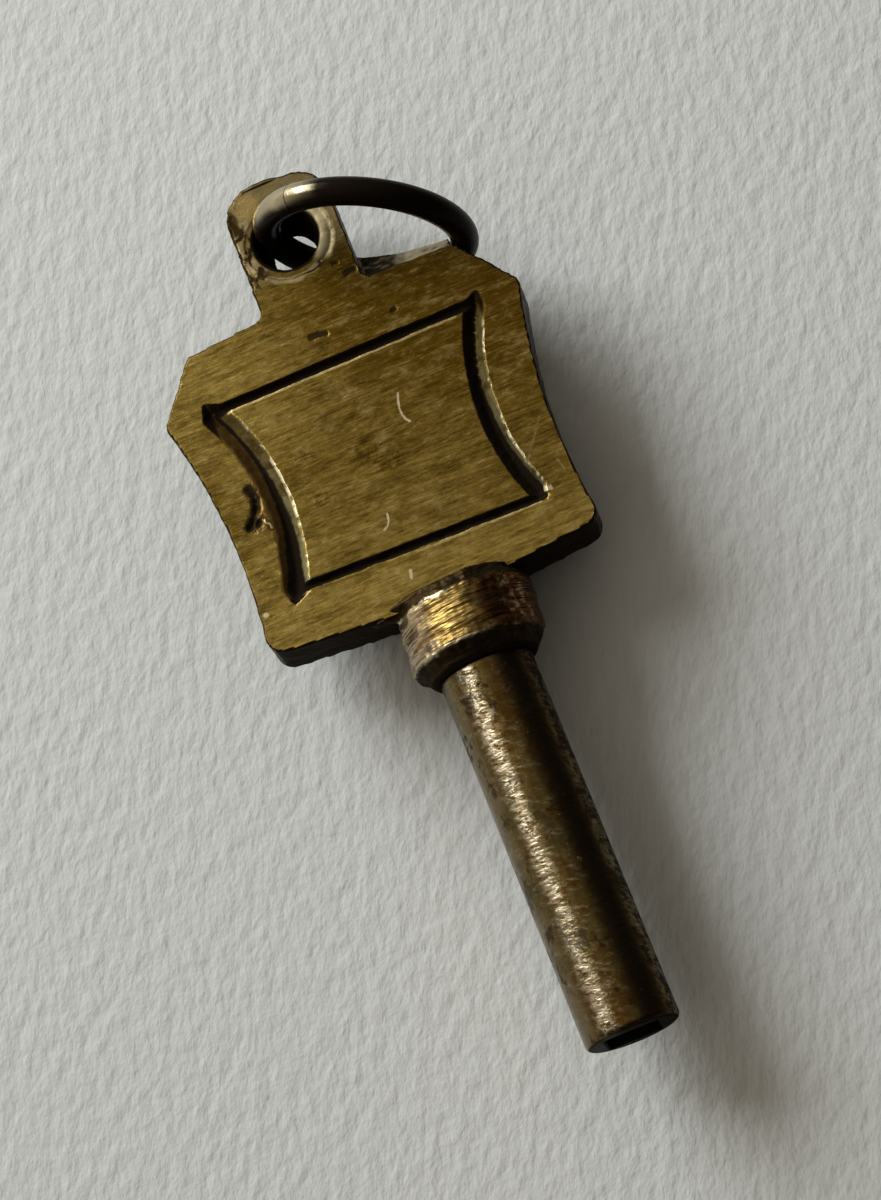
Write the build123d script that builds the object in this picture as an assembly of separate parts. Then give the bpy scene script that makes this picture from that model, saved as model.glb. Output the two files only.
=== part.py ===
"""Watch key: a square-mouthed steel pipe in a turned brass collar, under a flat brass bow
whose lug carries a loose steel wire ring.

The key lies flat. The origin is the middle of the pipe's mouth, +Y runs along the pipe to the
lug, +Z is square to the bow's face and +X is across it. Sizes are in millimetres.
"""
import os
from math import cos, degrees, hypot, radians, sin

from build123d import *

# Clearances and the overrun that every cut shares
BRAZE_GAP = 0.03
RING_RUB_GAP = 0.05
CUT_OVERRUN = 0.5

# Pipe: the steel tube whose mouth is drifted square for the winding arbor; its upper end is turned
# down to a spigot that is brazed into the collar
PIPE_DIAMETER = 3.3
PIPE_REACH = 13.32
SPIGOT_DIAMETER = 2.8
SPIGOT_LENGTH = 1.55
PIPE_MOUTH_ROUND = 0.2
SOCKET_ACROSS_FLATS = 1.85
SOCKET_DEPTH = 6.0
DRILL_DIAMETER = 1.8
DRILL_DEPTH = 8.5

# Collar: the brass drum, filed a little out of true, between the pipe and the bow
COLLAR_DIAMETER = 4.86
COLLAR_FOOT_CHAMFER = 0.62
COLLAR_DRUM_LENGTH = 1.83
COLLAR_TOP_CHAMFER = 0.55
COLLAR_TOP_INSET = 0.26
COLLAR_LEAN = 0.17

# Bow plate: the flat brass body; its heights are measured from its bottom corners
BOW_THICKNESS = 2.16
BOW_OFFSET = -0.5
BOW_CORNER_LIFT = 0.07
BOW_FOOT_WIDTH = 12.2
BOW_WAIST_WIDTH = 11.72
BOW_SHOULDER_WIDTH = 13.3
BOW_TOP_WIDTH = 10.1
BOW_WAIST_RISE = 4.1
BOW_SHOULDER_RISE = 9.1
BOW_TOP_RISE = 11.25
BOW_SHOULDER_SLOPE = 0.2
BOW_BOTTOM_DIP = 0.55
BOW_CORNER_RADIUS = 0.6
BOW_SHOULDER_RADIUS = 0.45
BOW_TOP_RADIUS = 0.35
TONGUE_WIDTH = 3.4
TONGUE_LENGTH = 0.7

# Lug: the tab above the bow's top corners, with the ring's hole
LUG_OFFSET = -0.2
LUG_WIDTH = 3.76
LUG_RISE = 4.98
LUG_ROUND = 1.15
NECK_RADIUS = 0.35
HOLE_OFFSET = -0.18
HOLE_DROP = 2.4
HOLE_DIAMETER = 2.7
HOLE_RIM_BEVEL = 0.08
HOLE_RUB_OFFSET = 0.3
HOLE_RUB_REACH = 0.4
HOLE_RUB_DEPTH = 0.45

# Right shoulder: its back edge stands higher, its front edge is filed to a slope, and the ring
# has rubbed a hollow into its corner
SPUR_NECK_RISE = 1.43
SPUR_MIDDLE_RISE = 0.81
SPUR_MIDDLE_MARGIN = 2.15
SPUR_END_RISE = 0.41
SPUR_END_MARGIN = 0.15
SPUR_BEVEL_ANGLE = 36.0

# Engraved frame: four V cuts in the bow's face, placed by their margins inside its outline; the
# graver comes in and out over a short taper at their ends
FRAME_TAPER = 0.5
FRAME_LINE_DEPTH = 0.28
FRAME_TOP_RISE = 8.96
FRAME_TOP_MARGIN = 1.9
FRAME_TOP_CUT = 0.36
FRAME_BOTTOM_RISE = 1.68
FRAME_BOTTOM_SLOPE = 0.15
FRAME_BOTTOM_MARGIN = 1.75
FRAME_BOTTOM_CUT = 0.3
FRAME_SIDE_DEPTH = 0.34
FRAME_LEFT_CUT = 0.92
FRAME_RIGHT_CUT = 0.7
FRAME_SIDE_TOP_RISE = 8.93
FRAME_SIDE_TOP_MARGIN = 1.75
FRAME_SIDE_WAIST_RISE = 4.78
FRAME_SIDE_WAIST_MARGIN = 1.96
FRAME_SIDE_BOTTOM_RISE = 1.8
FRAME_SIDE_BOTTOM_MARGIN = 1.65

# Suspension ring: round steel wire bent into a ring, its ends meeting in a butt seam; its middle
# is placed from the middle of the lug's hole
RING_WIRE = 1.0
RING_MEAN_DIAMETER = 6.92
RING_ACROSS = 2.72
RING_DOWN = 0.79
RING_UP = 0.78
RING_HEADING = 64.7
RING_TILT = -3.35
RING_SEAM = 0.03
RING_SEAM_PLACE = 55.0

# Places that follow from the sizes
BOW_FRONT = BOW_THICKNESS / 2
BOW_BACK = -BOW_THICKNESS / 2
COLLAR_FOOT = PIPE_REACH + BRAZE_GAP
COLLAR_DRUM = COLLAR_FOOT + COLLAR_FOOT_CHAMFER
COLLAR_RIM = COLLAR_DRUM + COLLAR_DRUM_LENGTH
COLLAR_TOP = COLLAR_RIM + COLLAR_TOP_CHAMFER
SPIGOT_TOP = PIPE_REACH + SPIGOT_LENGTH
BOW_CORNER = COLLAR_TOP + BOW_CORNER_LIFT
BOW_BOTTOM = BOW_CORNER - BOW_BOTTOM_DIP
TONGUE_BOTTOM = BOW_BOTTOM - TONGUE_LENGTH
BOW_WAIST = BOW_CORNER + BOW_WAIST_RISE
BOW_SHOULDER = BOW_CORNER + BOW_SHOULDER_RISE
BOW_TOP = BOW_CORNER + BOW_TOP_RISE
BOW_NECK = BOW_TOP + BOW_SHOULDER_SLOPE
LUG_TOP = BOW_TOP + LUG_RISE
LUG_CENTRE = BOW_OFFSET + LUG_OFFSET
LUG_LEFT = LUG_CENTRE - LUG_WIDTH / 2
LUG_RIGHT = LUG_CENTRE + LUG_WIDTH / 2
HOLE_CENTRE = LUG_CENTRE + HOLE_OFFSET
HOLE_HEIGHT = LUG_TOP - HOLE_DROP


def along_y(shape, start, end):
    """A flat shape drawn out along the key, from one height to another."""
    return Plane(origin=(0, start, 0), z_dir=(0, 1, 0)) * extrude(shape, end - start)


def fillet_near(face, places, radius):
    """Rounds the corners of an outline that lie at the given places."""
    corners = [min(face.vertices(), key=lambda v: hypot(v.X - x, v.Y - y)) for x, y in places]
    return fillet(corners, radius)


def make_pipe():
    """Steel tube with a rounded mouth, a square socket, the drilled hole behind it and a spigot."""
    pipe = along_y(Circle(PIPE_DIAMETER / 2), 0, PIPE_REACH)
    mouth = pipe.edges().sort_by(Axis.Y)[0]
    pipe = fillet(mouth, PIPE_MOUTH_ROUND)
    pipe += along_y(Circle(SPIGOT_DIAMETER / 2), PIPE_REACH - SPIGOT_LENGTH, SPIGOT_TOP)
    pipe -= along_y(Circle(DRILL_DIAMETER / 2), -CUT_OVERRUN, DRILL_DEPTH)
    return pipe - along_y(Rectangle(SOCKET_ACROSS_FLATS, SOCKET_ACROSS_FLATS), -CUT_OVERRUN, SOCKET_DEPTH)


def bow_outline():
    """The bow's outline with its lug, and the tongue that goes down into the collar."""
    def mirrored(half, height):
        return [(BOW_OFFSET - half, height), (BOW_OFFSET + half, height)]

    foot_left, foot_right = mirrored(BOW_FOOT_WIDTH / 2, BOW_CORNER)
    waist_left, waist_right = mirrored(BOW_WAIST_WIDTH / 2, BOW_WAIST)
    shoulder_left, shoulder_right = mirrored(BOW_SHOULDER_WIDTH / 2, BOW_SHOULDER)
    top_left, top_right = mirrored(BOW_TOP_WIDTH / 2, BOW_TOP)
    neck_left, neck_right = (LUG_LEFT, BOW_NECK), (LUG_RIGHT, BOW_NECK)
    lug_left, lug_right = (LUG_LEFT, LUG_TOP), (LUG_RIGHT, LUG_TOP)
    dip = (BOW_OFFSET, BOW_BOTTOM)
    edges = [
        Line(dip, foot_left),
        ThreePointArc(foot_left, waist_left, shoulder_left),
        Line(shoulder_left, top_left),
        Line(top_left, neck_left),
        Line(neck_left, lug_left),
        Line(lug_left, lug_right),
        Line(lug_right, neck_right),
        Line(neck_right, top_right),
        Line(top_right, shoulder_right),
        ThreePointArc(shoulder_right, waist_right, foot_right),
        Line(foot_right, dip),
    ]
    face = make_face(Curve() + edges)
    face = fillet_near(face, [foot_left, foot_right], BOW_CORNER_RADIUS)
    face = fillet_near(face, [shoulder_left, shoulder_right], BOW_SHOULDER_RADIUS)
    face = fillet_near(face, [top_left, top_right], BOW_TOP_RADIUS)
    face = fillet_near(face, [neck_left, neck_right], NECK_RADIUS)
    face = fillet_near(face, [lug_left, lug_right], LUG_ROUND)
    tongue = Rectangle(TONGUE_WIDTH, BOW_CORNER - TONGUE_BOTTOM, align=(Align.CENTER, Align.MIN))
    return face + Pos(0, TONGUE_BOTTOM) * tongue


def through_bow(face, grow=0):
    """A flat outline made as thick as the bow, or a little thicker on both faces."""
    return Pos(0, 0, BOW_BACK - grow) * extrude(face, BOW_THICKNESS + 2 * grow)


def right_spur():
    """The higher back edge of the right shoulder, filed down to the front face by a slope."""
    top_right = BOW_OFFSET + BOW_TOP_WIDTH / 2
    foot = (LUG_CENTRE, BOW_TOP)
    neck = (LUG_CENTRE, BOW_TOP + SPUR_NECK_RISE)
    start = (LUG_RIGHT, BOW_TOP + SPUR_NECK_RISE)
    middle = (top_right - SPUR_MIDDLE_MARGIN, BOW_TOP + SPUR_MIDDLE_RISE)
    end = (top_right - SPUR_END_MARGIN, BOW_TOP + SPUR_END_RISE)
    corner = (top_right - SPUR_END_MARGIN, BOW_TOP)
    edge = [Line(foot, neck), Line(neck, start), ThreePointArc(start, middle, end), Line(end, corner)]
    spur = through_bow(make_face(Curve() + edge + [Line(corner, foot)]))
    slope = Plane(origin=(0, BOW_TOP, BOW_FRONT)).rotated((-SPUR_BEVEL_ANGLE, 0, 0))
    filed = Box(BOW_FOOT_WIDTH, BOW_FOOT_WIDTH, BOW_THICKNESS, align=(Align.CENTER, Align.MIN, Align.MIN))
    return spur - slope * filed


def engraved_cut(line, width, depth):
    """A V cut along a line or arc on the bow's face, drawn out to a point at each end."""
    path = Pos(0, 0, BOW_FRONT) * line
    spread = width / 2 * (1 + CUT_OVERRUN / depth)
    reach = FRAME_TAPER * (1 + CUT_OVERRUN / depth)
    corners = [(-spread, CUT_OVERRUN), (spread, CUT_OVERRUN), (0, -depth)]
    section = make_face(Polyline(*corners, close=True))

    def placed(share):
        ahead = path % share
        return Plane(origin=path @ share, x_dir=Vector(0, 0, 1).cross(ahead), z_dir=ahead) * section

    cut = sweep(placed(0), path=path)
    for share, way in ((0, -1), (1, 1)):
        tip = path @ share + (path % share) * way * reach + Vector(0, 0, CUT_OVERRUN)
        cut += loft([placed(share), Vertex(*tip)])
    return cut


def engraved_frame():
    """The four V cuts that frame the bow's face."""
    def inside(side, width, margin, rise):
        return (BOW_OFFSET + side * (width / 2 - margin), BOW_CORNER + rise)

    def upright(side):
        return ThreePointArc(
            inside(side, BOW_SHOULDER_WIDTH, FRAME_SIDE_TOP_MARGIN, FRAME_SIDE_TOP_RISE),
            inside(side, BOW_WAIST_WIDTH, FRAME_SIDE_WAIST_MARGIN, FRAME_SIDE_WAIST_RISE),
            inside(side, BOW_FOOT_WIDTH, FRAME_SIDE_BOTTOM_MARGIN, FRAME_SIDE_BOTTOM_RISE),
        )

    top = [inside(side, BOW_SHOULDER_WIDTH, FRAME_TOP_MARGIN, FRAME_TOP_RISE) for side in (-1, 1)]
    bottom = [
        inside(side, BOW_FOOT_WIDTH, FRAME_BOTTOM_MARGIN, FRAME_BOTTOM_RISE - side * FRAME_BOTTOM_SLOPE)
        for side in (-1, 1)
    ]
    return [
        engraved_cut(Line(*top), FRAME_TOP_CUT, FRAME_LINE_DEPTH),
        engraved_cut(Line(*bottom), FRAME_BOTTOM_CUT, FRAME_LINE_DEPTH),
        engraved_cut(upright(-1), FRAME_LEFT_CUT, FRAME_SIDE_DEPTH),
        engraved_cut(upright(1), FRAME_RIGHT_CUT, FRAME_SIDE_DEPTH),
    ]


def make_bow_plate():
    """Flat brass bow with its lug, spur, frame and tongue; the ring's hole is rubbed on its right."""
    plate = through_bow(bow_outline()) + right_spur()
    plate -= rub_hollow()
    radius = HOLE_DIAMETER / 2
    inner = radius - HOLE_RUB_OFFSET
    downwards = (Align.CENTER, Align.CENTER, Align.MAX)
    hole = Cylinder(radius, BOW_THICKNESS + 2 * CUT_OVERRUN)
    rim = Cone(radius, radius + HOLE_RIM_BEVEL, HOLE_RIM_BEVEL, align=downwards)
    rubbed = Cone(inner, inner + HOLE_RUB_REACH, HOLE_RUB_DEPTH, align=downwards)
    hole += Pos(0, 0, BOW_FRONT) * rim
    hole += Pos(HOLE_RUB_OFFSET, 0, BOW_FRONT) * rubbed
    hole += Pos(0, 0, BOW_BACK) * Rot(180, 0, 0) * rim
    plate -= Pos(HOLE_CENTRE, HOLE_HEIGHT) * hole
    for cut in engraved_frame():
        plate -= cut
    return plate


def make_collar():
    """Brass drum with a chamfer at each end, bored for the spigot and let in for the bow."""
    def section(height, diameter, lean):
        return Plane(origin=(lean, height, 0), z_dir=(0, 1, 0)) * Circle(diameter / 2)

    drum = loft([
        section(COLLAR_FOOT, COLLAR_DIAMETER - 2 * COLLAR_FOOT_CHAMFER, 0),
        section(COLLAR_DRUM, COLLAR_DIAMETER, 0),
        section(COLLAR_RIM, COLLAR_DIAMETER, COLLAR_LEAN),
        section(COLLAR_TOP, COLLAR_DIAMETER - 2 * COLLAR_TOP_INSET, COLLAR_LEAN),
    ], ruled=True)
    bore = Circle(SPIGOT_DIAMETER / 2 + BRAZE_GAP)
    drum -= along_y(bore, PIPE_REACH - CUT_OVERRUN, SPIGOT_TOP + BRAZE_GAP)
    return drum - through_bow(offset(bow_outline(), BRAZE_GAP), BRAZE_GAP)


def ring_place():
    """The ring's own plane: it leans over the right shoulder, through the lug's hole."""
    heading, tilt = radians(RING_HEADING), radians(RING_TILT)
    return Plane(
        origin=(HOLE_CENTRE + RING_ACROSS, HOLE_HEIGHT - RING_DOWN, RING_UP),
        x_dir=(-sin(heading), cos(heading), 0),
        z_dir=(cos(tilt) * cos(heading), cos(tilt) * sin(heading), sin(tilt)),
    )


def rub_hollow():
    """What the leaning ring has rubbed away: its own shape, a little fuller, beside the lug."""
    fuller = ring_place() * Torus(RING_MEAN_DIAMETER / 2, RING_WIRE / 2 + RING_RUB_GAP)
    beside = Box(BOW_FOOT_WIDTH, LUG_TOP, BOW_FOOT_WIDTH, align=(Align.MIN, Align.MIN, Align.CENTER))
    return fuller & Pos(LUG_RIGHT, 0) * beside


def make_ring():
    """Wire ring through the lug's hole, its ends meeting in a butt seam."""
    radius = RING_MEAN_DIAMETER / 2
    wire = Plane.XZ * Pos(radius, 0) * Circle(RING_WIRE / 2)
    ring = revolve(wire, Axis.Z, 360 - degrees(RING_SEAM / radius))
    return ring_place() * Rot(0, 0, RING_SEAM_PLACE) * ring


PARTS = {
    "pipe": make_pipe,
    "collar": make_collar,
    "bow_plate": make_bow_plate,
    "suspension_ring": make_ring,
}

os.makedirs("parts", exist_ok=True)
for name, make in PARTS.items():
    export_step(make(), f"parts/{name}.step")
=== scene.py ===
"""Looks for the watch key: finishes for its steel pipe, brass collar, brass bow and steel ring.

Everything is in metres, in the frame of the CAD model: the pipe's mouth is the origin, +Y runs
along the pipe to the lug, and +Z is square to the bow's face.
"""
import math

import bpy
from mathutils import Matrix, Vector, geometry, noise


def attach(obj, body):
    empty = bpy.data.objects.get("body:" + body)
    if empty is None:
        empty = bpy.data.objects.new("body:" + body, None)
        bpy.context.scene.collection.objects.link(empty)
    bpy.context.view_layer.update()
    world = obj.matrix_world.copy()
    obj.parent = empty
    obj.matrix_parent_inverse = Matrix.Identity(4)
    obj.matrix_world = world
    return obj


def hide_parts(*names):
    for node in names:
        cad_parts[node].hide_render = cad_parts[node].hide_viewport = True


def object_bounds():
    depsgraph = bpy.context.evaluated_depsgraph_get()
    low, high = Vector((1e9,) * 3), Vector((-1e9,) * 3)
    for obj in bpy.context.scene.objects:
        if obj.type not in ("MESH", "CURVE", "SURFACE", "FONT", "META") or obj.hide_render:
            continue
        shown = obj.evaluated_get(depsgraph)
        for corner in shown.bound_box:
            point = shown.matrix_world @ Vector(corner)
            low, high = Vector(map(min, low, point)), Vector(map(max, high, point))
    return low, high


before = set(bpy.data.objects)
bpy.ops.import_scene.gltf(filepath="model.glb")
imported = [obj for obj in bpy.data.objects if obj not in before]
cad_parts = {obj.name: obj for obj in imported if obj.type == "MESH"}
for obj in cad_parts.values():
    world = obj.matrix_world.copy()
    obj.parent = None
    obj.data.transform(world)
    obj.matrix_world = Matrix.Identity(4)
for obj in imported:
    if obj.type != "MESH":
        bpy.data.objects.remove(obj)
cad_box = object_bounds()
bpy.ops.object.select_all(action="DESELECT")


# Pipe. Drawn steel tube, drifted square at the mouth and brazed into the collar. Long handling has
# left a brown patina, pitted everywhere and rubbed bright along the top; the bright streak and strokes
# are also a painted highlight, kept to the side that faces the window.
class Finish:
    """One value of a surface finish. Sums on it add Math nodes, and node() adds any other node."""

    def __init__(self, tree, socket=None):
        self.tree = tree
        self.socket = socket

    def node(self, kind, settings=None, sockets=None, output=0):
        """Adds a node: its settings first, then the values or links of its sockets."""
        made = self.tree.nodes.new("ShaderNode" + kind)
        for name, value in (settings or {}).items():
            setattr(made, name, value)
        for name, value in (sockets or {}).items():
            if isinstance(value, Finish):
                self.tree.links.new(value.socket, made.inputs[name])
            else:
                made.inputs[name].default_value = value
        return Finish(self.tree, made.outputs[output] if made.outputs else None)

    def sum(self, operation, *values):
        """A Math node on some numbers."""
        return self.node("Math", {"operation": operation}, dict(enumerate(values)))

    def vector(self, operation, values, output=0):
        """A Vector Math node on some places or directions; its output 1 is a number."""
        return self.node("VectorMath", {"operation": operation}, values, output)

    def __add__(self, other):
        return self.sum("ADD", self, other)

    __radd__ = __add__

    def __mul__(self, other):
        return self.sum("MULTIPLY", self, other)

    __rmul__ = __mul__

    def __sub__(self, other):
        return self.sum("SUBTRACT", self, other)

    def __rsub__(self, other):
        return self.sum("SUBTRACT", other, self)

    def rise(self, low, high):
        """0 below low, 1 above high and a smooth step between; falls where low is the larger."""
        bounds = {"Value": self, "From Min": low, "From Max": high}
        return self.node("MapRange", {"interpolation_type": "SMOOTHSTEP"}, bounds)

    def size(self):
        """The value without its sign."""
        return self.sum("ABSOLUTE", self)

    def tint(self, plain, full):
        """Goes from the plain colour to the full one as the value goes from 0 to 1."""
        ends = [c if isinstance(c, Finish) else (*c, 1) for c in (plain, full)]
        return self.node("Mix", {"data_type": "RGBA"}, {0: self, 6: ends[0], 7: ends[1]}, 2)

    def placed(self, scale, turn=(0, 0, 0), shift=(0, 0, 0)):
        """The place on the surface, stretched, turned and moved for a pattern."""
        values = {"Vector": self, "Scale": scale, "Rotation": turn, "Location": shift}
        return self.node("Mapping", {}, values)

    def grain(self, scale, detail=4, rough=0.6, stretch=(1, 1, 1), shift=(0, 0, 0)):
        """Cloudy noise, drawn out along an axis by a small stretch."""
        spot = self.placed(stretch, shift=shift)
        values = {"Vector": spot, "Scale": scale, "Detail": detail, "Roughness": rough}
        return self.node("TexNoise", {}, values)

    def raised(self, height, distance, normal=None):
        """Bump of a height, with its full height in metres."""
        values = {"Height": height, "Distance": distance}
        if normal:
            values["Normal"] = normal
        return self.node("Bump", {}, values)

    def part(self, axis):
        """One number of a place or direction: X, Y or Z."""
        return self.node("SeparateXYZ", {}, {0: self}, axis)

    def near(self, *points):
        """The distance on the face from a line drawn through some points, in millimetres."""
        flat = self.vector("MULTIPLY", {0: self, 1: (1, 1, 0)})
        nearest = None
        for start, end in zip(points, points[1:]):
            along = Vector((*end, 0)) - Vector((*start, 0))
            away = self.vector("SUBTRACT", {0: flat, 1: (*start, 0)})
            share = self.vector("DOT_PRODUCT", {0: away, 1: along / along.length_squared}, 1)
            share = self.node("Clamp", {}, {0: share})
            foot = self.vector("SCALE", {0: along, 3: share})
            apart = self.vector("DISTANCE", {0: away, 1: foot}, 1)
            nearest = apart if nearest is None else self.sum("MINIMUM", nearest, apart)
        return nearest

    def around(self, point):
        """The distance from the axis through one point of the face, in millimetres."""
        return self.near(point, (point[0] + 0.01, point[1]))

    def mark(self, width, *points, rough=0):
        """1 on a line through some points of the face, width millimetres wide, and 0 off it."""
        return (self.near(*points) + rough).rise(width * 0.75, width * 0.3)

    def marks(self, ragged, *lines):
        """1 on several lines, each a width, how far its edge wanders, and its points."""
        found = None
        for width, wander, *points in lines:
            line = self.mark(width, *points, rough=ragged * wander)
            found = found.either(line) if found else line
        return found

    def either(self, *others):
        """The largest of several masks."""
        found = self
        for other in others:
            found = self.sum("MAXIMUM", found, other)
        return found


def new_finish(name):
    """A new material, and the place on its surface in millimetres."""
    material = bpy.data.materials.new(name)
    material.use_nodes = True
    material.node_tree.nodes.clear()
    spot = Finish(material.node_tree).node("TexCoord", output="Object")
    return material, spot.placed((1000, 1000, 1000))


def metal(material, colour, roughness, normal, dirt_and_shade):
    """Ends a finish in bare metal under a matt black layer of dirt and, in places, painted shade, which
    covers it where its mask is 1.
    """
    start = Finish(material.node_tree)
    bare = {"Base Color": colour, "Roughness": roughness, "Normal": normal, "Metallic": 1.0}
    matt = {"Base Color": DIRT_AND_SHADE_BLACK, "Roughness": 0.85, "Normal": normal, "Specular IOR Level": 0.04}
    layers = [start.node("BsdfPrincipled", {}, sockets) for sockets in (bare, matt)]
    covered = start.node("MixShader", {}, {0: dirt_and_shade, 1: layers[0], 2: layers[1]})
    start.node("OutputMaterial", {}, {"Surface": covered})


def wear(node, material):
    """Gives a CAD node one material."""
    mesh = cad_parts[node].data
    mesh.materials.clear()
    mesh.materials.append(material)


# matt black, used both for dirt and for painted shade
DIRT_AND_SHADE_BLACK = (0.010, 0.006, 0.003, 1)
PIPE_ROUNDING = 0.00006
PIPE_RELIEF = 0.00004
PIPE_SOCKET = 1.0
STROKE_TURN = 0.35
pipe_brown = (0.10, 0.052, 0.012)
pipe_olive = (0.14, 0.105, 0.035)
pipe_worn_and_highlight = (0.40, 0.34, 0.24)
pipe_dust_and_reflection = (0.26, 0.20, 0.11)
pipe_speck = (0.55, 0.48, 0.33)

pipe_finish, mm = new_finish("pipe_patina")
across, along, height = (mm.part(axis) for axis in (0, 1, 2))
cloud = mm.grain(0.8, 6, 0.65, (1, 0.6, 1))
feather = mm.grain(2.0, 3, 0.6, (0.8, 2.6, 0.8))
stroke = mm.placed((1, 1, 1), (0, 0, STROKE_TURN)).grain(3.0, 5, 0.7, (0.75, 2.1, 0.75), (2, 2, 7))
pit = mm.grain(3.0, 4, 0.65, shift=(3, 1, 5)).rise(0.64, 0.72)
blot = mm.grain(1.3, 5, 0.7, (1, 0.7, 1), (5, 2, 1)).rise(0.56, 0.64)
speck = mm.grain(5.5, 2, 0.5, shift=(1, 4, 2)).rise(0.72, 0.78) * height.rise(1.3, 0.6)
mottle = mm.grain(2.2, 5, 0.7, (1, 0.8, 1), (6, 1, 3))
colour = (cloud + mottle - 0.5).rise(0.36, 0.64).tint(pipe_brown, pipe_olive)
# the streak along the top and the rubbed strokes are partly wear and partly a painted highlight on the
# side that faces the window
crest_wear_and_highlight = (across + feather * 0.7 + 0.3).size().rise(0.45, 0.1) * height.rise(0, 0.5)
rubbed_and_lit = stroke.rise(0.5, 0.68) * (feather.rise(0.35, 0.65) * 0.5 + 0.2) * across.rise(0.9, 0.1)
colour = rubbed_and_lit.either(crest_wear_and_highlight * stroke.rise(0.38, 0.55) * 0.9).tint(colour, pipe_worn_and_highlight)
# dust on the side towards the window, also a painted reflection of the lit paper
colour = (across.rise(-0.9, -1.3) * cloud.rise(0.62, 0.4) * 0.5).tint(colour, pipe_dust_and_reflection)
colour = (speck * 0.8).tint(colour, pipe_speck)

# grime in the pits, blots and patches; painted shade along the lower right side, which faces away from the
# window (less at its far edge and where rubbed), on the end face (less on its left) and in the socket
inside = across.size().either(height.size()).rise(PIPE_SOCKET + 0.15, PIPE_SOCKET)
end = along.rise(0.1, 0.03) * (across.rise(-0.9, 0) * 0.1 + 0.9)
flank = across.rise(1.2, 1.5) * (stroke + mottle - 0.5).rise(0.4, 0.6)
shaded_side = (across + cloud * 0.6).rise(0.45, 1.15) * 0.88 * (1 - rubbed_and_lit.either(flank) * 0.7)
dirt_and_shade = (blot * 0.7).either(pit * 0.9, end, inside, shaded_side, (cloud + mottle * 0.5).rise(0.78, 0.94) * 0.6)
rough = 0.13 + stroke * 0.08 + cloud * 0.06
soft_edge = mm.node("Bevel", {"samples": 6}, {"Radius": PIPE_ROUNDING})
relief = mm.raised(stroke * 0.5 + feather * 0.6 - pit * 0.6, PIPE_RELIEF, soft_edge)
metal(pipe_finish, colour, rough, relief, dirt_and_shade)
wear("pipe", pipe_finish)


# Collar. A turned brass drum, filed by hand where it meets the bow, so that fine file marks run
# round it. Dirt and old flux darken its chamfers and its right side; the upper chamfer's dark is partly
# painted shade, a painted shadow line runs at its joint with the pipe, and painted highlights run along
# its rims.
COLLAR_MIDDLE = 14.9
COLLAR_GRAIN = 0.05
COLLAR_FOOT = 14.0
COLLAR_RIM = 15.8
COLLAR_ROUNDING = 0.00008
COLLAR_RELIEF = 0.00016
FILED_WAVES = 0.07
FILED_AWAY = 0.04
BRAZE = (((-0.5, 16.25, 0.95), (1.9, 0.35, 0.6)), ((-2.2, 16.08, 0.8), (0.9, 0.22, 0.3)))
collar_gold = (0.24, 0.158, 0.048)
collar_beige_and_reflection = (0.52, 0.40, 0.26)
collar_olive = (0.20, 0.105, 0.016)
collar_stain = (0.11, 0.037, 0.010)
collar_flux_and_shade = (0.08, 0.048, 0.016)
collar_fleck = (0.45, 0.35, 0.20)
collar_painted_glint = (0.85, 0.75, 0.5)


def from_line(place, points):
    """How far a place on the face lies from a line drawn through some points, in millimetres."""
    spot = Vector(place[:2])
    distances = []
    for start, end in zip(points, points[1:]):
        foot, share = geometry.intersect_point_line(spot, start, end)
        share = min(max(share, 0), 1)
        distances.append((spot - Vector(start).lerp(Vector(end), share)).length)
    return min(distances)


def worn_copy(node, name):
    """A copy of a CAD node whose mesh can be worn and hammered; the node itself isn't touched."""
    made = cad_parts[node].copy()
    made.data = made.data.copy()
    made.name = name
    bpy.context.scene.collection.objects.link(made)
    bpy.context.view_layer.objects.active = made
    made.select_set(True)
    bpy.ops.object.mode_set(mode="EDIT")
    bpy.ops.mesh.select_all(action="SELECT")
    bpy.ops.mesh.remove_doubles(threshold=0.000001)
    bpy.ops.mesh.select_all(action="DESELECT")
    return made


def fuse(piece, grain):
    """Remeshes a piece to small even faces. The remesh has a least grain in metres that is too
    coarse here, so the piece is in millimetres while it is fused."""
    bpy.ops.object.mode_set(mode="OBJECT")
    piece.data.transform(Matrix.Scale(1000, 4))
    fused = piece.modifiers.new("fused", "REMESH")
    fused.mode = "VOXEL"
    fused.voxel_size = grain
    fused.use_smooth_shade = True
    bpy.ops.object.modifier_apply(modifier="fused")
    piece.data.transform(Matrix.Scale(0.001, 4))
    piece.select_set(False)


collar = worn_copy("collar", "collar_filed")
for place, reach in BRAZE:
    bpy.ops.mesh.primitive_uv_sphere_add(radius=0.001, location=Vector(place) / 1000, scale=reach)
fuse(collar, COLLAR_GRAIN)

# filed by eye: flats and waves run round the drum, and its rims are ragged
normals = [vertex.normal.copy() for vertex in collar.data.vertices]
for vertex, normal in zip(collar.data.vertices, normals):
    place = vertex.co * 1000
    away = math.hypot(place.x, place.z)
    outer = min(max((away - 1.9) / 0.2, 0), 1)
    filed = noise.noise(Vector((place.x * 0.8, place.y * 2.2, place.z * 0.8))) * FILED_WAVES
    ragged = noise.noise(place * 2.6) * 0.05 + noise.noise(place * 6) * 0.025
    rims = min(abs(place.y - COLLAR_MIDDLE) / 0.9, 1) ** 3
    vertex.co += normal * (filed + ragged * (0.25 + rims) - FILED_AWAY) * outer / 1000

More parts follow.
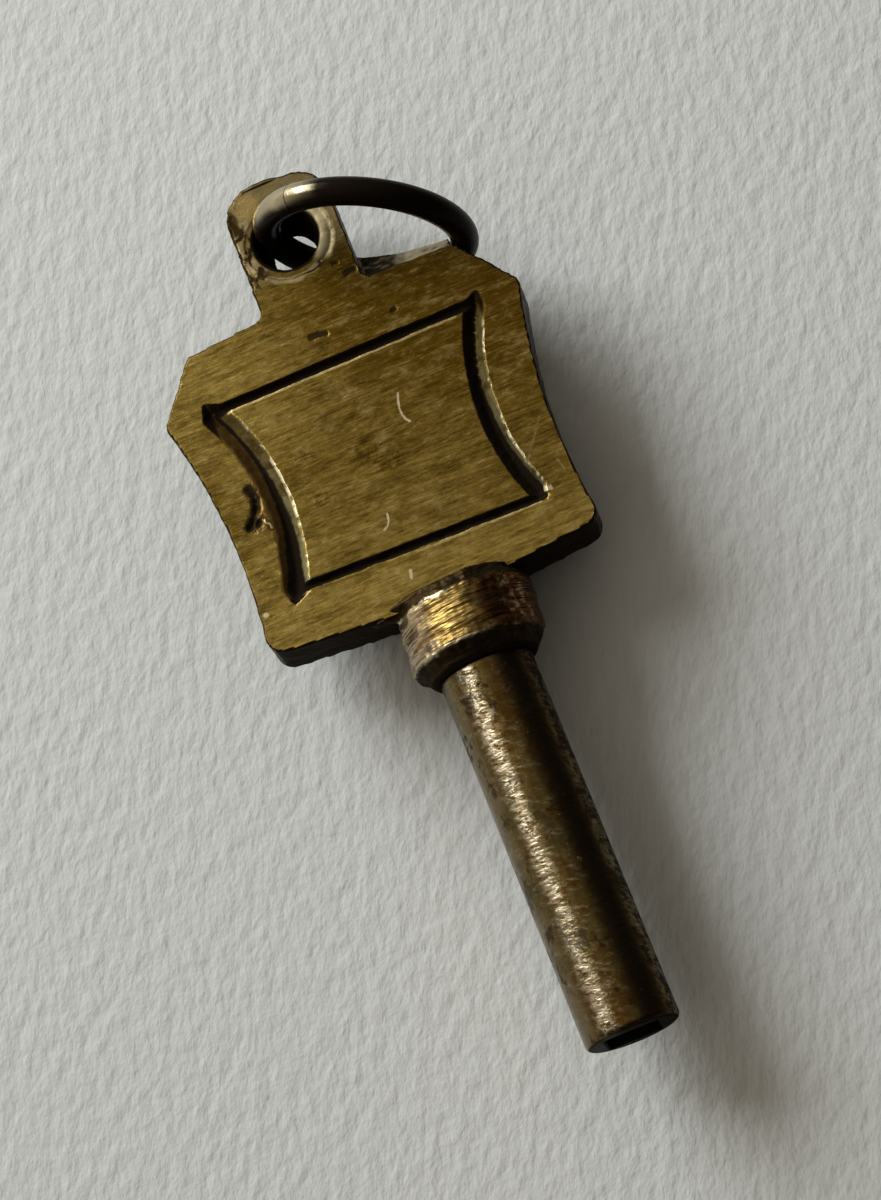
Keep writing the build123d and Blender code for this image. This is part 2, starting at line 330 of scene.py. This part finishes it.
collar_finish, mm = new_finish("collar_filed_brass")
across, along = mm.part(0), mm.part(1)
marks = mm.grain(1.3, 2, 0.5, (0.6, 3.4, 0.6))
fine = mm.grain(3.5, 3, 0.6, (0.5, 3, 0.5))
cloud = mm.grain(0.9, 5, 0.65)
ragged = mm.grain(2.6, 5, 0.65)
fleck = mm.grain(3.0, 5, 0.65, shift=(2, 5, 1))
colour = across.rise(0.7, 1.7).tint(collar_gold, collar_olive)
# pale beige on the side towards the window: partly the metal's own tone, partly a painted reflection of
# the lit paper
colour = (across + ragged * 0.8).rise(-0.5, -1.2).tint(colour, collar_beige_and_reflection)
colour = (marks.rise(0.52, 0.36) * 0.7).tint(colour, collar_olive)
stain = (across + ragged * 1.4).rise(1.3, 1.65)
colour = (stain * 0.9).tint(colour, collar_stain)
scattered = fleck.rise(0.5, 0.62) * across.rise(1.3, 1.5) * across.rise(2.3, 2.1)
colour = (scattered * 0.6).tint(colour, collar_fleck)

# the foot's chamfer is dark with dirt and flux, with a painted highlight along its rim on the side towards
# the window; the upper chamfer holds flux darkened further as painted shade, the top rim carries a painted
# glint, and a painted shadow line runs at the joint with the pipe
foot = (along + ragged * 0.3).rise(COLLAR_FOOT + 0.2, COLLAR_FOOT + 0.02)
# painted shadow line at the joint with the pipe
joint_shadow = along.rise(13.65, 13.46)
# the upper chamfer: flux, darkened further as painted shade
rim_flux_and_shade = (along + ragged * 0.5).rise(COLLAR_RIM + 0.22, COLLAR_RIM + 0.34)
# painted glint along the top rim, on the side that faces the window
glint = (along + ragged * 0.2).rise(COLLAR_RIM - 0.02, COLLAR_RIM + 0.06) * (1 - rim_flux_and_shade)
glint = glint * across.rise(0.1, -0.3)
colour = rim_flux_and_shade.either(foot * 0.85).tint(colour, collar_flux_and_shade)
# painted highlight along the foot's rim, partly rubbed metal
rubbed_and_lit = (along + ragged * 0.25 - COLLAR_FOOT - 0.13).size().rise(0.09, 0.03) * across.rise(1.0, 0.4)
colour = (glint * 0.9).either(rubbed_and_lit * 0.45).tint(colour, collar_painted_glint)
cracks = (cloud + ragged * 0.4).rise(0.72, 0.8) * 0.5
dirt_and_shade = (stain * (0.35 - scattered * 0.3)).either(foot * (0.75 + ragged * 0.25))
dirt_and_shade = dirt_and_shade.either(joint_shadow, rim_flux_and_shade * 0.75, cracks)
soft_edge = mm.node("Bevel", {"samples": 6}, {"Radius": COLLAR_ROUNDING})
relief = mm.raised(marks + fine * 0.2, COLLAR_RELIEF, soft_edge)
metal(collar_finish, colour, 0.27 + cloud * 0.14, relief, dirt_and_shade)
collar.data.materials.clear()
collar.data.materials.append(collar_finish)
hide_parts("collar")
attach(collar, "key")


# Bow. A flat brass plate, sawn out, filed along its width and engraved with a frame of four V
# cuts. Age has turned it olive-brown; its darkening towards the lug and the upper right is partly
# tarnish and partly painted shade, and it has dark edges all round.
BOW_FACE = 1.08
BOW_MIDDLE = -0.5
BOW_GRAIN = 0.072
BOW_RELIEF = 0.00002
HOLE_PLACE = (-0.88, 30.25)
LINING_PLACE = (-0.79, 30.36)
HOLE_LINING = (
    (1.5, -0.98), (1.5, 1.06), (1.22, 1.06), (1.14, 0.95), (1.1, 0.1), (0.86, -0.6), (0.79, -0.98))
NICK = ((-5.2, 22.25), (-5.08, 21.85), (-5.22, 21.4), (-5.6, 20.97), (-5.3, 21.0))
CURL = ((-5.32, 20.97), (-5.2, 21.07), (-5.09, 21.03), (-5.05, 20.9), (-4.95, 20.82), (-4.93, 20.66))
NICK_DEPTH = 0.14
NICK_REACH = 0.12
CHIPPED_EDGE = ((-2.3, 32.1), (-2.55, 31.4), (-2.6, 29.0))
CHIP_DEPTH = 0.3
CHIP_REACH = 0.5
FULL_TOP = ((-1.15, 32.6), (-0.65, 32.65))
LOW_CORNER = ((0.1, 32.6), (0.4, 32.4))
TOP_UNEVENNESS = 0.1
TOP_REACH = 0.7
CORNER_REACH = 0.6

bow = worn_copy("bow_plate", "bow_worn")

# a dark lining in the ring's hole, narrowing towards the back, which hides the floor seen through it,
# drawn up from a circle ring by ring, each ring with its radius and its level
hole_x, hole_y = (value / 1000 for value in LINING_PLACE)
radius, level = HOLE_LINING[0]
start = (hole_x, hole_y, level / 1000)
bpy.ops.mesh.primitive_circle_add(vertices=64, radius=radius / 1000, location=start)
for next_radius, next_level in HOLE_LINING[1:]:
    rise = (0, 0, (next_level - level) / 1000)
    bpy.ops.mesh.extrude_edges_move(TRANSFORM_OT_translate={"value": rise})
    share = next_radius / radius
    bpy.ops.transform.resize(value=(share, share, 1), center_override=(hole_x, hole_y, 0))
    radius, level = next_radius, next_level
bpy.ops.mesh.select_all(action="DESELECT")
bpy.ops.object.mode_set(mode="OBJECT")
for vertex in bow.data.vertices:
    off = (Vector(vertex.co[:2]) * 1000 - Vector(LINING_PLACE)).length
    low = abs(vertex.co.z * 1000 - level) < 0.001
    vertex.select = low and min(abs(off - radius), abs(off - HOLE_LINING[0][0])) < 0.002
bpy.ops.object.mode_set(mode="EDIT")
bpy.ops.mesh.bridge_edge_loops()
bpy.ops.mesh.select_all(action="SELECT")
bpy.ops.mesh.normals_make_consistent(inside=False)
fuse(bow, BOW_GRAIN)

# a century of knocks: every edge is a little uneven, the lug's left edge is chipped, its top was
# never quite round, and one nick is torn beside the left V cut
normals = [vertex.normal.copy() for vertex in bow.data.vertices]
for vertex, normal in zip(bow.data.vertices, normals):
    place = vertex.co * 1000
    on_edge = 1 - min(abs(normal.z) ** 6, 1)
    uneven = noise.noise(place * 1.7) * 0.03 + noise.noise(place * 4.5) * 0.02
    if place.x < -1.7 and place.y > 28.4:
        chip = max(noise.noise(place * 2.9) + noise.noise(place * 6.1) * 0.5 + 0.1, 0)
        uneven -= chip * CHIP_DEPTH * max(1 - from_line(place, CHIPPED_EDGE) / CHIP_REACH, 0)
    if place.y > 31.4:
        uneven += TOP_UNEVENNESS * max(1 - from_line(place, FULL_TOP) / TOP_REACH, 0)
        uneven -= TOP_UNEVENNESS * max(1 - from_line(place, LOW_CORNER) / CORNER_REACH, 0)
    move = normal * uneven * on_edge
    if place.z > 0.5 and -6 < place.x < -4.6 and 20 < place.y < 23:
        away = from_line(place, NICK) + noise.noise(place * 7) * 0.1
        move.z -= NICK_DEPTH * max(1 - away / NICK_REACH, 0)
    vertex.co += move / 1000

bow_deep = (0.130, 0.072, 0.005)
bow_olive = (0.35, 0.240, 0.055)
bow_light = (0.50, 0.39, 0.16)
bow_brown = (0.045, 0.026, 0.003)
bow_bright = (0.80, 0.72, 0.48)
bow_torn = (0.15, 0.085, 0.022)
lug_dull = (0.22, 0.175, 0.085)
lug_golden = (0.38, 0.27, 0.10)
crescent_dull = (0.24, 0.19, 0.09)
crescent_rubbed = (0.42, 0.35, 0.20)
flake_dull = (0.22, 0.16, 0.06)
flake_rubbed = (0.40, 0.31, 0.17)
outer_wall_painted_light = (0.42, 0.26, 0.09)
cut_inner_top = (0.10, 0.07, 0.024)
cut_inner_foot = (0.15, 0.125, 0.055)
shoulder_dust_and_light = (0.42, 0.36, 0.24)

# places on the face, in millimetres; a mark is its width, how far its edge wanders, and its points
GOLDEN_CORNER = (0.75, 0.5, (-1.95, 31.95), (-1.65, 32.1))
FLAKED_EDGE = (1.0, 0.5, (-2.5, 31.9), (-2.4, 31.2), (-2.3, 30.4), (-2.3, 29.5))
DARK_CORNER = (0.5, 0.5, (-2.5, 32.0), (-2.42, 31.35))
TORN = (0.6, 0.7, (-5.0, 22.1), (-5.0, 20.7))
TOP_CUT = ((-5.2, 25.38), (4.2, 25.38))
FOOT_CUT = ((-4.7, 18.25), (4.0, 17.95))
BURRED_CORNER = (0.14, 0.5, (3.95, 18.25), (4.35, 18.1))
NICK_MARKS = ((0.4, 0.35, *NICK), (0.3, 0.2, (-5.5, 21.0), (-5.38, 21.1)))
PITS = (
    (0.22, 0.15, (-1.25, 26.52), (-0.98, 26.53), (-0.75, 26.45)),
    (0.2, 0.2, (1.7, 26.28), (1.78, 26.3)),
    (0.25, 0.2, (0.72, 28.25), (0.98, 28.28)),
    (0.18, 0.2, (0.4, 28.75), (0.5, 28.75)))
SMUDGES = (
    (1.0, 0, (-0.9, 21.95), (-0.3, 21.45)),
    (0.5, 0, (-3.15, 22.55), (-2.9, 22.5)),
    (0.45, 0, (-3.05, 20.9), (-2.95, 20.9)))
SCRATCHES = (
    (0.07, 0.05, (0.78, 23.38), (0.7, 23.15), (0.64, 22.85), (0.64, 22.6), (0.7, 22.42), (0.8, 22.28)),
    (0.06, 0.08, (-1.1, 19.5), (-1.14, 19.25), (-1.24, 19.08), (-1.4, 19.0)),
    (0.09, 0.06, (-1.08, 17.3), (-1.14, 17.05)),
    (0.16, 0, (-6.21, 17.82), (-6.18, 17.82)))
FAINT_SCRATCHES = (
    (0.07, 0.12, (4.95, 20.6), (4.55, 20.05), (4.05, 19.35)),
    (0.06, 0.1, (4.93, 19.0), (5.05, 18.5)),
    (0.05, 0.08, (-2.6, 26.8), (-1.7, 26.55)))
# painted highlights: thin light lines along the lips of the straight cuts, where their edges catch the
# light
CUT_LIP_HIGHLIGHTS = (
    (0.09, 0.1, (-4.9, 25.16), (3.6, 25.16)),
    (0.09, 0.16, (-0.6, 17.84), (3.9, 17.76)))

bow_finish, mm = new_finish("bow_aged_brass")
across, up, height = (mm.part(axis) for axis in (0, 1, 2))
sideways, upward, facing = (mm.node("TexCoord", output="Normal").part(axis) for axis in (0, 1, 2))
front = facing.rise(0.9, 0.97)
streak = mm.grain(1.5, 6, 0.75, (0.45, 3.6, 1))
hair = mm.grain(2.6, 5, 0.75, (0.5, 7, 1), (3, 1, 0))
cloud = mm.grain(0.45, 5, 0.6)
mottle = mm.grain(1.3, 6, 0.7, (0.8, 1.6, 1), (7, 3, 0))
grit = mm.grain(5, 5, 0.75, (0.7, 1.6, 1), (2, 6, 0))
ragged = mm.grain(3.5, 4, 0.65) - 0.5

# tarnish and painted shade: lightest at the foot, darker towards the lug and, near the top, to the right,
# partly tarnish and partly painted shade; darker along the left margin
skew = up.rise(21, 27) * (across - BOW_MIDDLE) * 0.14 - up.rise(18.5, 17) * 0.35
margin = across.rise(-4.9, -5.9) * up.rise(19, 21) * 0.35
tarnish_and_shade = (across - BOW_MIDDLE) * 0.04 + (up - 22) * 0.05 + (cloud - 0.5) * 0.9 + 0.6 + skew + margin
colour = tarnish_and_shade.tint(bow_olive, bow_deep)
polish = hair.rise(0.5, 0.7) * 0.25 + mottle.rise(0.5, 0.7) * 0.35 + grit.rise(0.52, 0.7) * 0.3
colour = polish.tint(colour, bow_light)
dark_streak = streak.rise(0.64, 0.34) * (mottle.rise(0.65, 0.4) * 0.7 + 0.3)
dark = dark_streak * 0.6 + hair.rise(0.58, 0.32) * 0.25 + grit.rise(0.58, 0.32) * 0.25
colour = dark.tint(colour, bow_brown)

# wear on the lug: a rubbed crescent beside the hole, a golden corner, and chips on its left edge
from_hole = mm.around(HOLE_PLACE)
crescent = (from_hole + ragged * 0.3).rise(1.85, 1.65) * across.rise(-0.3, 0.2) * up.rise(28.9, 29.3)
lip = from_hole.rise(1.3, 1.4) * (from_hole + ragged * 0.3).rise(1.65, 1.5) * up.rise(30.2, 29.4)
golden = mm.marks(ragged, GOLDEN_CORNER)
colour = (up.rise(28.6, 30.5) * (0.3 + mottle * 0.8)).tint(colour, lug_dull)
colour = (golden * 0.7).tint(colour, lug_golden)
patchy = mottle.rise(0.35, 0.6).tint(crescent_dull, crescent_rubbed)
colour = crescent.either(lip * 0.6).tint(colour, patchy)

# the lug's left edge is flaked: rubbed metal between dark cracks, under a dark corner
flaked = mm.marks(ragged, FLAKED_EDGE)
crackle = mm.grain(1.5, 3, 0.5, (1, 0.7, 1), (4, 4, 4))
cracks = (crackle - 0.5).size().rise(0.08, 0.03) * (cloud + ragged).rise(0.3, 0.45)
dark_corner = mm.marks(ragged, DARK_CORNER)
chips = flaked * cracks.either(dark_corner, (cloud + ragged).rise(0.6, 0.7))
patchy = mottle.rise(0.4, 0.6).tint(flake_dull, flake_rubbed)
colour = (flaked * 0.7).tint(colour, patchy)
colour = (chips * 0.95).tint(colour, bow_brown)

# small marks of use: dark pits, smudges and nicks, and bright scratches
nick = mm.marks(ragged, *NICK_MARKS)
torn = mm.marks(ragged, TORN) * front
colour = (torn * 0.75).tint(colour, bow_torn)
curl = mm.mark(0.07, *CURL, rough=ragged * 0.06)
colour = (mm.mark(0.24, *CURL, rough=ragged * 0.2) * (1 - curl) * 0.8).tint(colour, bow_brown)
pits = mm.marks(ragged, *PITS)
smudges = mm.marks(ragged, *SMUDGES)
colour = (smudges * (streak + ragged).rise(0.56, 0.4) * 0.7).tint(colour, bow_brown)
dark_marks = (nick * 0.9).either(pits * 0.85) * facing.rise(0.3, 0.6)
scratches = mm.marks(ragged, *SCRATCHES) * front * 0.65
faint = mm.marks(ragged, *FAINT_SCRATCHES) * ragged.rise(-0.2, 0.2) * 0.25
colour = scratches.either(curl * 0.3, faint).tint(colour, bow_bright)

# the V cuts: black with dirt in the straight ones and at the bottom of the curved ones. Their walls
# are coloured by how they face the window: the left cut's outer wall, which faces away, is a lighter
# brown, painted light in its shade; the right cut's wall that faces away is painted black as shade;
# the rougher walls that face left have their own lit tones, and the thin bright line above them is
# partly burr and partly painted highlight
sunk = BOW_FACE - height
outside = (across - BOW_MIDDLE).size().rise(4.9, 5.1).either(up.rise(26, 26.2), up.rise(17.4, 17.2))
sloped = facing.rise(0.3, 0.4) * facing.rise(0.97, 0.93)
lines = mm.sum("MINIMUM", mm.near(*TOP_CUT), mm.near(*FOOT_CUT))
straight = (lines + ragged * 0.09).rise(0.2, 0.15)
deep = (sunk + ragged * 0.09 - (up - 21) * 0.035).rise(0.17, 0.24).either(sunk.rise(0.27, 0.3))
shaded = sideways.rise(0.15, 0.4)
colour = (shaded * sloped * across.rise(-2, -2.1) * (1 - outside)).tint(colour, outer_wall_painted_light)
rubbed_and_lit = sloped * sideways.rise(-0.15, -0.4) * (1 - outside)
colour = rubbed_and_lit.tint(colour, up.rise(25, 20).tint(cut_inner_top, cut_inner_foot))
colour = (rubbed_and_lit * mottle.rise(0.5, 0.4) * 0.7).tint(colour, bow_brown)
tips = sloped * up.rise(18.1, 17.95).either(up.rise(25.35, 25.5)) * (1 - outside)
# dirt in the cuts, and painted shade on the right cut's wall that faces away from the window
cut_dirt_and_shade = straight.either(deep * (1 - outside), sloped * across.rise(2, 2.1) * shaded, tips)
corner = mm.marks(ragged, BURRED_CORNER)
burr_and_highlight = sideways.rise(-0.05, -0.2) * sunk.rise(0.07, 0.03) * facing.rise(0.995, 0.97) * (1 - outside)
burr_and_highlight = burr_and_highlight * (ragged + cloud).rise(0.42, 0.58) * up.rise(25.2, 23.5) * (1 - mm.mark(0.8, *NICK))
colour = (burr_and_highlight * 0.55).either(corner * 0.6).tint(colour, bow_bright)
# painted highlight along the lips of the straight cuts
colour = (mm.marks(ragged, *CUT_LIP_HIGHLIGHTS) * 0.7).tint(colour, bow_light)

# the edges that face the pipe, away from the window, are painted black as shade; inside the hole is matt
# black; the corner of the right shoulder by the neck is painted as shade, and the shoulder's face that
# turns up towards the window has a dusty tone that is partly painted light
underside_shade = upward.rise(-0.55, -0.8) * 0.94
bored = mm.around(LINING_PLACE).rise(1.24, 1.14)
shoulder = upward.rise(0.4, 0.6) * across.rise(1.1, 1.3) * up.rise(27.4, 27.6)
shoulder_corner_shade = shoulder * (across + ragged).rise(3.0, 2.2)
colour = (shoulder * 0.7).tint(colour, shoulder_dust_and_light)
edge = facing.rise(0.999, 0.97) * (outside * (1 - crescent) * (1 - shoulder))
colour = (edge * (0.95 - ragged * 0.6)).tint(colour, bow_brown)
dirt_and_shade = cut_dirt_and_shade.either(underside_shade, bored, shoulder_corner_shade, dark_marks, edge * (ragged * 2 + 0.6), chips * (ragged + 0.5))
relief = mm.raised(streak * 0.3 + hair * 0.3 + mottle - dark_marks, BOW_RELIEF)
rough = 0.26 + hair * 0.1 + crescent.either(lip, rubbed_and_lit) * 0.3
metal(bow_finish, colour, rough, relief, dirt_and_shade)
bow.data.materials.clear()
bow.data.materials.append(bow_finish)
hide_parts("bow_plate")
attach(bow, "key")


# Suspension ring. Round steel wire, bent into a ring and left butted. It is black with age and
# blackest inside the lug's hole, and dusty grey where it is rubbed beside the lug; there the side
# that faces the window also carries a painted highlight.
RING_RUB_AND_HIGHLIGHT = (-0.6, 31.0, 2.9)
RING_OUTWARDS = (-0.45, 0.6, 0.66)
RING_RELIEF = 0.000005
ring_black = (0.006, 0.005, 0.004)
ring_dull = (0.018, 0.013, 0.009)
ring_rubbed_highlight = (0.50, 0.42, 0.27)

ring_finish, mm = new_finish("ring_black_steel")
cloud = mm.grain(1.2, 5, 0.6)
away = mm.vector("DISTANCE", {0: mm, 1: RING_RUB_AND_HIGHLIGHT}, 1)
direction = mm.node("TexCoord", output="Normal")
outer = mm.vector("DOT_PRODUCT", {0: direction, 1: RING_OUTWARDS}, 1)
# rubbed patch: partly dust and wear, partly a painted highlight where the wire faces the window
rub_and_highlight = (away + (cloud - 0.5) * 1.5).rise(2.6, 1.1) * (outer + (cloud - 0.5) * 0.5).rise(0.15, 0.75)
colour = cloud.rise(0.5, 0.75).tint(ring_black, ring_dull)
colour = rub_and_highlight.tint(colour, ring_rubbed_highlight)
relief = mm.raised(mm.grain(9, 4, 0.6), RING_RELIEF)
held = mm.around(HOLE_PLACE).rise(1.7, 1.2) * mm.part(2).rise(1.7, 1.0)
metal(ring_finish, colour, 0.15 + cloud * 0.14, relief, ((1 - rub_and_highlight) * 0.6).either(held))
wear("suspension_ring", ring_finish)


# Paper that the key lies on: pale, matt and slightly fibrous.
PAPER_REACH = 0.6
PAPER_TURN = 0.41
PAPER_MIDDLE = (0, 0.016)
PAPER_RELIEF = 0.0001
paper_grey = (0.57, 0.577, 0.56, 1)

lowest = cad_box[0][2]
bpy.ops.mesh.primitive_plane_add(size=PAPER_REACH, location=(*PAPER_MIDDLE, lowest))
paper = bpy.context.object
paper.name = "paper"
paper_finish, mm = new_finish("paper_pale")
turned = mm.placed((1, 1, 1), (0, 0, PAPER_TURN))
fibre = turned.grain(2.0, 3, 0.5, (1, 0.55, 1)) + turned.grain(5, 4, 0.6, (1, 0.55, 1)) * 0.2
relief = mm.raised(fibre, PAPER_RELIEF)
start = Finish(paper_finish.node_tree)
shader = start.node("BsdfPrincipled", {}, {"Base Color": paper_grey, "Roughness": 0.9, "Normal": relief})
start.node("OutputMaterial", {}, {"Surface": shader})
paper.data.materials.append(paper_finish)


# Light: one soft window, low to the upper left, in a dim warm room that is darker to the right.
WINDOW_WAY = Vector((-0.476, 0.720, 0.505)).normalized()
WINDOW_AWAY = 0.30
WINDOW_WIDE = 0.147
WINDOW_TALL = 0.232
WINDOW_ROLL = -0.938
WINDOW_ENERGY = 1.12
window = bpy.data.lights.new("window", "AREA")
window.shape = "RECTANGLE"
window.size = WINDOW_WIDE
window.size_y = WINDOW_TALL
window.energy = WINDOW_ENERGY
window.color = (0.95, 0.985, 1.0)
level = Vector((0, 0, 1)).cross(WINDOW_WAY).normalized()
upright = WINDOW_WAY.cross(level)
wide = level * math.cos(WINDOW_ROLL) + upright * math.sin(WINDOW_ROLL)
tall = upright * math.cos(WINDOW_ROLL) - level * math.sin(WINDOW_ROLL)
window_lamp = bpy.data.objects.new("window", window)
turn = Matrix((wide, tall, WINDOW_WAY)).transposed().to_4x4()
window_lamp.matrix_world = Matrix.Translation(WINDOW_WAY * WINDOW_AWAY + Vector((*PAPER_MIDDLE, 0))) @ turn
bpy.context.scene.collection.objects.link(window_lamp)

ROOM_BRIGHT_SIDE = (-0.6, 0.4, 0.69)
room_dark = (0.014, 0.011, 0.008)
room_bright = (0.50, 0.45, 0.375)
world = bpy.data.worlds.new("room")
world.use_nodes = True
sky = Finish(world.node_tree).node("TexCoord", output="Generated")
side = sky.vector("DOT_PRODUCT", {0: sky, 1: ROOM_BRIGHT_SIDE}, 1)
shade = side.rise(-0.1, 0.95).tint(room_dark, room_bright)
backdrop = world.node_tree.nodes["Background"]
world.node_tree.links.new(shade.socket, backdrop.inputs["Color"])
bpy.context.scene.world = world
bpy.context.scene.view_settings.view_transform = "Standard"


# Camera: at the photograph's place, worked out from the key's own edges.
CAMERA_PLACE = Vector((5.0637, -20.4709, 114.8746)) / 1000
CAMERA_RIGHT = Vector((0.92088, -0.35597, -0.15897))
CAMERA_UP = Vector((0.38706, 0.88356, 0.26366))
CAMERA_BACK = Vector((0.04660, -0.30433, 0.95143))
CAMERA_FOCUS = 3553.6
PHOTO_HEIGHT = 1200
camera = bpy.data.cameras.new("camera")
camera.lens = CAMERA_FOCUS * camera.sensor_width / PHOTO_HEIGHT
camera.clip_start = 0.005
camera_rig = bpy.data.objects.new("camera", camera)
turn = Matrix((CAMERA_RIGHT, CAMERA_UP, CAMERA_BACK)).transposed().to_4x4()
camera_rig.matrix_world = Matrix.Translation(CAMERA_PLACE) @ turn
bpy.context.scene.collection.objects.link(camera_rig)
bpy.context.scene.camera = camera_rig
